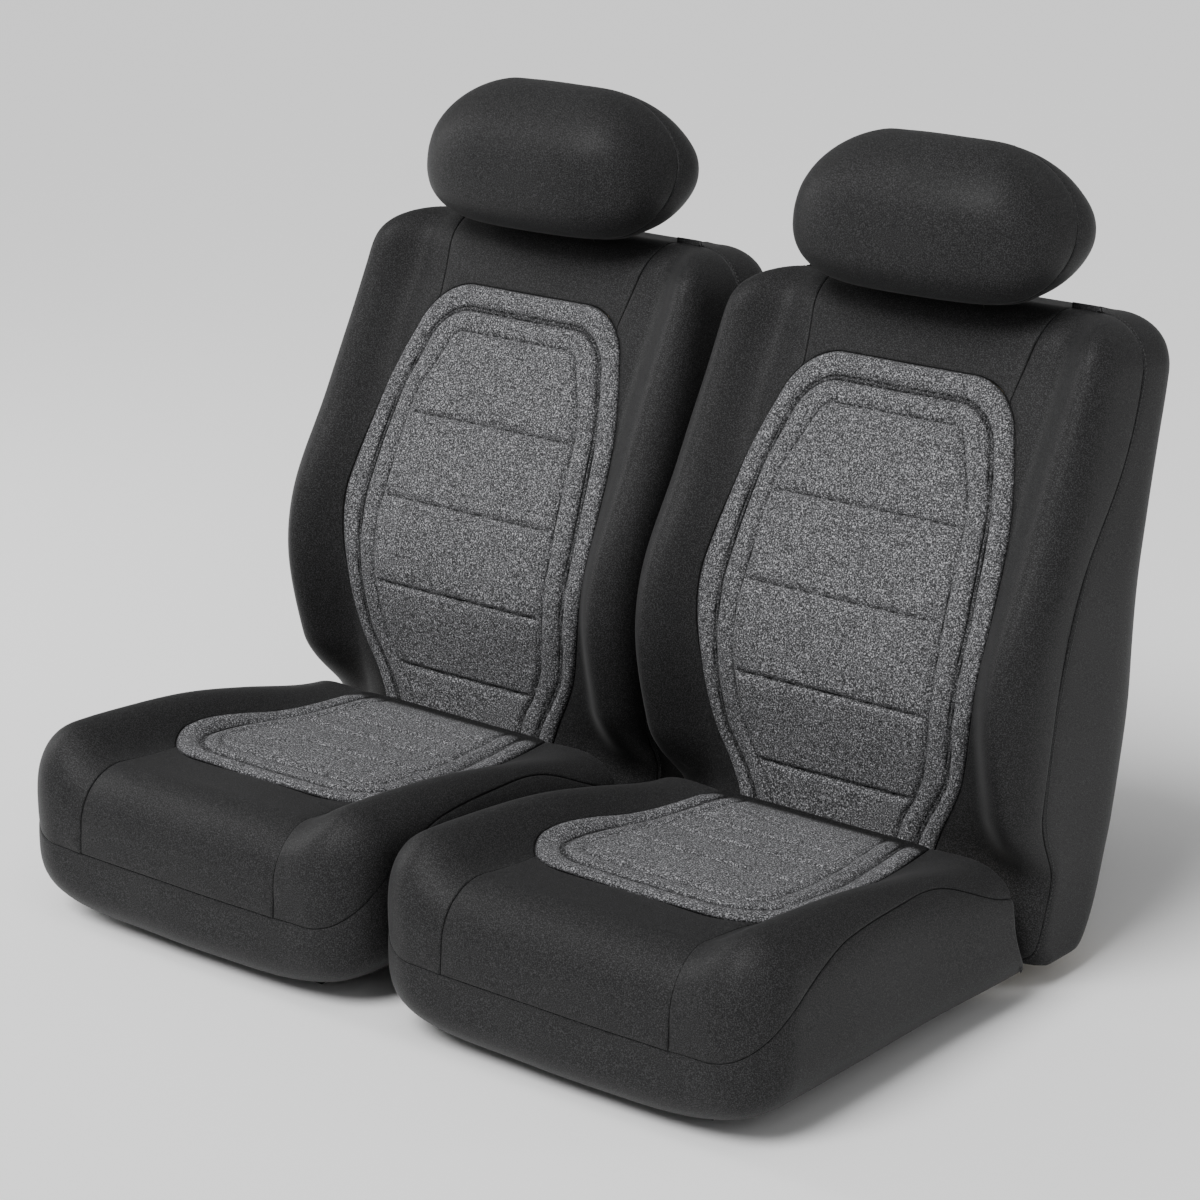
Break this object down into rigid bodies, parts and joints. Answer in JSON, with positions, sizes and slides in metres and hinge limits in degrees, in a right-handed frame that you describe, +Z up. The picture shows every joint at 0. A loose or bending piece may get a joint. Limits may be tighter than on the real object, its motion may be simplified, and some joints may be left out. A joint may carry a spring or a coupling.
{
  "type": "seat cover set",
  "caption": "Stretch cloth covers with padded quilted centre panels, fitted on bucket seats with side bolsters, reclining backrests and sliding headrests.",
  "frame": {"origin": "on the floor, under the middle of the two seats", "axes": "+Z up; the seats face -Y and stand side by side along X"},
  "size_m": [1.132, 0.8348, 0.952],
  "materials": {
    "black_cloth": "matte knitted stretch polyester, foam backed, very fine speckle, soft broad sheen",
    "heather_cloth": "matte padded knit, black with fine white flecks, stitched grooves",
    "seat_foam": "moulded open-cell foam",
    "black_steel": "black powder coat",
    "guide_plastic": "fine textured black plastic",
    "chromed_steel": "polished chrome"
  },
  "bodies": {
    "seat_bases": {"left_cushion_pan": "black_steel", "left_cushion_foam": "seat_foam", "left_cushion_center_pad": "heather_cloth", "left_cushion_front_panel": "black_cloth", "left_cushion_bolster_left": "black_cloth", "left_cushion_bolster_right": "black_cloth", "left_cushion_skirt": "black_cloth", "left_recliner_shaft": "black_steel", "right_cushion_pan": "black_steel", "right_cushion_foam": "seat_foam", "right_cushion_center_pad": "heather_cloth", "right_cushion_front_panel": "black_cloth", "right_cushion_bolster_left": "black_cloth", "right_cushion_bolster_right": "black_cloth", "right_cushion_skirt": "black_cloth", "right_recliner_shaft": "black_steel"},
    "left_backrest": {"left_backrest_frame": "black_steel", "left_backrest_foam": "seat_foam", "left_backrest_center_pad": "heather_cloth", "left_backrest_yoke": "black_cloth", "left_backrest_bolster_left": "black_cloth", "left_backrest_bolster_right": "black_cloth", "left_backrest_side_left": "black_cloth", "left_backrest_side_right": "black_cloth", "left_backrest_rear_panel": "black_cloth", "left_headrest_guide_left": "guide_plastic", "left_headrest_guide_right": "guide_plastic"},
    "left_headrest": {"left_headrest_foam": "seat_foam", "left_headrest_front_panel": "black_cloth", "left_headrest_rear_panel": "black_cloth", "left_headrest_post_left": "chromed_steel", "left_headrest_post_right": "chromed_steel"},
    "right_backrest": {"right_backrest_frame": "black_steel", "right_backrest_foam": "seat_foam", "right_backrest_center_pad": "heather_cloth", "right_backrest_yoke": "black_cloth", "right_backrest_bolster_left": "black_cloth", "right_backrest_bolster_right": "black_cloth", "right_backrest_side_left": "black_cloth", "right_backrest_side_right": "black_cloth", "right_backrest_rear_panel": "black_cloth", "right_headrest_guide_left": "guide_plastic", "right_headrest_guide_right": "guide_plastic"},
    "right_headrest": {"right_headrest_foam": "seat_foam", "right_headrest_front_panel": "black_cloth", "right_headrest_rear_panel": "black_cloth", "right_headrest_post_left": "chromed_steel", "right_headrest_post_right": "chromed_steel"}
  },
  "joints": [
    {"name": "left_recline", "type": "hinge", "parent": "seat_bases", "child": "left_backrest", "pos_m": [-0.285, 0.20154, 0.132], "axis": [-1, 0, 0], "range_deg": [0, 35]},
    {"name": "left_headrest_slide", "type": "slide", "parent": "left_backrest", "child": "left_headrest", "axis": [0, 0.2079, 0.9781], "range_m": [0, 0.06]},
    {"name": "right_recline", "type": "hinge", "parent": "seat_bases", "child": "right_backrest", "pos_m": [0.285, 0.20154, 0.132], "axis": [-1, 0, 0], "range_deg": [0, 35]},
    {"name": "right_headrest_slide", "type": "slide", "parent": "right_backrest", "child": "right_headrest", "axis": [0, 0.2079, 0.9781], "range_m": [0, 0.06]}
  ]
}
